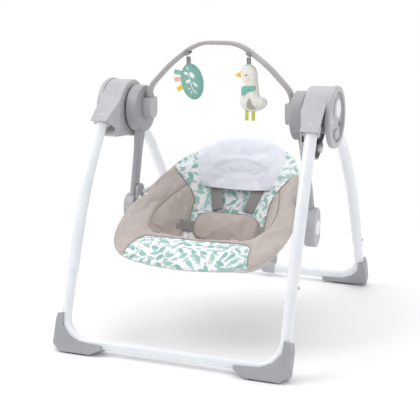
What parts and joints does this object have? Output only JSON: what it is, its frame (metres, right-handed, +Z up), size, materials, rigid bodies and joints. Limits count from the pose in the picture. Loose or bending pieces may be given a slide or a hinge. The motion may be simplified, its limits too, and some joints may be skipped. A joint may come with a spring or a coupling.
{
  "type": "baby swing",
  "caption": "Folding baby swing: tubular A-frame, side pods, hanging padded bucket seat and a removable arch with two soft toys.",
  "frame": {"origin": "on the floor under the middle of the frame's footprint", "axes": "+Z up, +Y to the rear, +X to the side with the speed dial"},
  "size_m": [0.513, 0.6741, 0.605],
  "materials": {
    "tube_white": "gloss powder coat",
    "housing_grey": "fine moulded texture",
    "foot_grey": "fine moulded texture",
    "arm_grey": "moulded",
    "button_white": "satin",
    "rubber_dark": "matt",
    "steel": "turned",
    "nylon": "moulded",
    "gear_plastic": "moulded acetal",
    "battery_wrap": "printed sleeve",
    "board_green": "solder mask",
    "bar_grey": "satin",
    "cover_fabric": "woven polyester",
    "pillow_plush": "short plush",
    "pad_fabric": "woven polyester",
    "webbing": "webbing",
    "leaf_fabric": "felt",
    "ribbon": "satin ribbon",
    "bird_fabric": "felt",
    "bird_leg_fabric": "felt",
    "buckle_plastic": "moulded",
    "clip_plastic": "translucent moulding"
  },
  "bodies": {
    "front_frame": {"front_base_tube": "tube_white", "front_leg_tube_left": "tube_white", "front_leg_tube_right": "tube_white", "front_foot_covers": "foot_grey", "front_foot_pads": "rubber_dark", "pod_inner_shell_left": "housing_grey", "pod_inner_shell_right": "housing_grey", "pod_outer_shell_left": "housing_grey", "pod_outer_shell_right": "housing_grey", "pod_ring_cover_left": "housing_grey", "pod_ring_cover_right": "housing_grey", "pod_screws": "steel", "spindle_bushes": "nylon", "drive_motor": "steel", "gear_pin": "steel", "battery_cells": "battery_wrap", "circuit_board": "board_green", "power_inlet": "rubber_dark"},
    "rear_frame": {"rear_base_tube": "tube_white", "rear_leg_tube_left": "tube_white", "rear_leg_tube_right": "tube_white", "rear_foot_covers": "foot_grey", "rear_foot_pads": "rubber_dark", "rear_leg_drums": "arm_grey"},
    "swing": {"swing_arm_left": "arm_grey", "swing_arm_right": "arm_grey", "seat_hubs": "housing_grey", "spindles": "steel"},
    "seat": {"seat_brackets": "arm_grey", "seat_back_tube": "steel", "seat_front_tube": "steel", "seat_cover": "cover_fabric", "head_pillow": "pillow_plush", "crotch_pad": "pad_fabric", "crotch_strap": "webbing", "harness_straps": "webbing", "buckle": "buckle_plastic"},
    "clips": {"toy_bar_clips": "housing_grey"},
    "bar": {"toy_bar": "bar_grey", "toy_loops": "ribbon"},
    "leaf": {"leaf_toy": "leaf_fabric", "leaf_ribbons": "ribbon"},
    "bird": {"bird_toy": "bird_fabric", "bird_legs": "bird_leg_fabric", "bird_ribbon": "ribbon"},
    "storage_clip": {"storage_clip": "clip_plastic"},
    "gear": {"drive_gear": "gear_plastic"},
    "pinion": {"motor_pinion": "gear_plastic"},
    "door": {"battery_door": "housing_grey"},
    "dial": {"speed_dial": "button_white"},
    "start": {"start_button": "button_white"},
    "fold_left": {"fold_button_left": "arm_grey"},
    "fold_right": {"fold_button_right": "arm_grey"},
    "recline_left": {"recline_button_left": "button_white"},
    "recline_right": {"recline_button_right": "button_white"},
    "buckle_release": {"buckle_button": "button_white"},
    "snap_front_left": {"front_snap_button_left": "steel"},
    "snap_front_right": {"front_snap_button_right": "steel"},
    "snap_rear_left": {"rear_snap_button_left": "steel"},
    "snap_rear_right": {"rear_snap_button_right": "steel"}
  },
  "joints": [
    {"name": "rear_frame_fold", "type": "hinge", "parent": "front_frame", "child": "rear_frame", "pos_m": [0, -0.035, 0.458], "axis": [-1, 0, 0], "range_deg": [0, 62]},
    {"name": "swing_rock", "type": "hinge", "parent": "front_frame", "child": "swing", "pos_m": [0, -0.035, 0.458], "axis": [1, 0, 0], "range_deg": [-14, 14]},
    {"name": "seat_recline", "type": "hinge", "parent": "swing", "child": "seat", "pos_m": [0, -0.035, 0.226], "axis": [1, 0, 0], "range_deg": [0, 12]},
    {"name": "toy_bar_tilt", "type": "hinge", "parent": "swing", "child": "clips", "pos_m": [0, -0.035, 0.458], "axis": [1, 0, 0], "range_deg": [-30, 30]},
    {"name": "toy_bar_lift", "type": "slide", "parent": "clips", "child": "bar", "axis": [0, 0, 1], "range_m": [0, 0.034]},
    {"name": "leaf_swing", "type": "hinge", "parent": "bar", "child": "leaf", "pos_m": [-0.068, -0.035, 0.576], "axis": [1, 0, 0], "range_deg": [-35, 35]},
    {"name": "bird_swing", "type": "hinge", "parent": "bar", "child": "bird", "pos_m": [0.066, -0.035, 0.577], "axis": [1, 0, 0], "range_deg": [-35, 35]},
    {"name": "storage_clip_turn", "type": "hinge", "parent": "rear_frame", "child": "storage_clip", "pos_m": [0, 0.3132, 0.02], "axis": [1, 0, 0], "range_deg": [-60, 20]},
    {"name": "gear_spin", "type": "hinge", "parent": "front_frame", "child": "gear", "pos_m": [0.204, -0.082, 0.4265], "axis": [1, 0, 0], "continuous": true},
    {"name": "pinion_spin", "type": "hinge", "parent": "front_frame", "child": "pinion", "pos_m": [0.204, -0.082, 0.404], "axis": [1, 0, 0], "continuous": true},
    {"name": "battery_door_open", "type": "hinge", "parent": "front_frame", "child": "door", "pos_m": [0.222, 0.01783, 0.4885], "axis": [-1, 0, 0], "range_deg": [0, 80]},
    {"name": "speed_dial_turn", "type": "hinge", "parent": "front_frame", "child": "dial", "pos_m": [0.25, -0.031, 0.475], "axis": [1, 0, 0], "range_deg": [-120, 120]},
    {"name": "start_press", "type": "slide", "parent": "front_frame", "child": "start", "axis": [-1, 0, 0], "range_m": [0, 0.0012], "stiffness_N_per_m": 300},
    {"name": "fold_press_left", "type": "slide", "parent": "front_frame", "child": "fold_left", "axis": [1, 0, 0], "range_m": [0, 0.0025], "stiffness_N_per_m": 300},
    {"name": "fold_press_right", "type": "slide", "parent": "front_frame", "child": "fold_right", "axis": [-1, 0, 0], "range_m": [0, 0.0025], "stiffness_N_per_m": 300},
    {"name": "recline_press_left", "type": "slide", "parent": "swing", "child": "recline_left", "axis": [1, 0, 0], "range_m": [0, 0.0022], "stiffness_N_per_m": 300},
    {"name": "recline_press_right", "type": "slide", "parent": "swing", "child": "recline_right", "axis": [-1, 0, 0], "range_m": [0, 0.0022], "stiffness_N_per_m": 300},
    {"name": "buckle_press", "type": "slide", "parent": "seat", "child": "buckle_release", "axis": [0, 0.788, -0.6157], "range_m": [0, 0.002], "stiffness_N_per_m": 300},
    {"name": "snap_press_front_left", "type": "slide", "parent": "front_frame", "child": "snap_front_left", "axis": [1, 0, 0], "range_m": [0, 0.003], "stiffness_N_per_m": 300},
    {"name": "snap_press_front_right", "type": "slide", "parent": "front_frame", "child": "snap_front_right", "axis": [-1, 0, 0], "range_m": [0, 0.003], "stiffness_N_per_m": 300},
    {"name": "snap_press_rear_left", "type": "slide", "parent": "rear_frame", "child": "snap_rear_left", "axis": [1, 0, 0], "range_m": [0, 0.003], "stiffness_N_per_m": 300},
    {"name": "snap_press_rear_right", "type": "slide", "parent": "rear_frame", "child": "snap_rear_right", "axis": [-1, 0, 0], "range_m": [0, 0.003], "stiffness_N_per_m": 300}
  ],
  "couplings": [
    {"joint": "pinion_spin", "follows": "gear_spin", "ratio": -4}
  ]
}
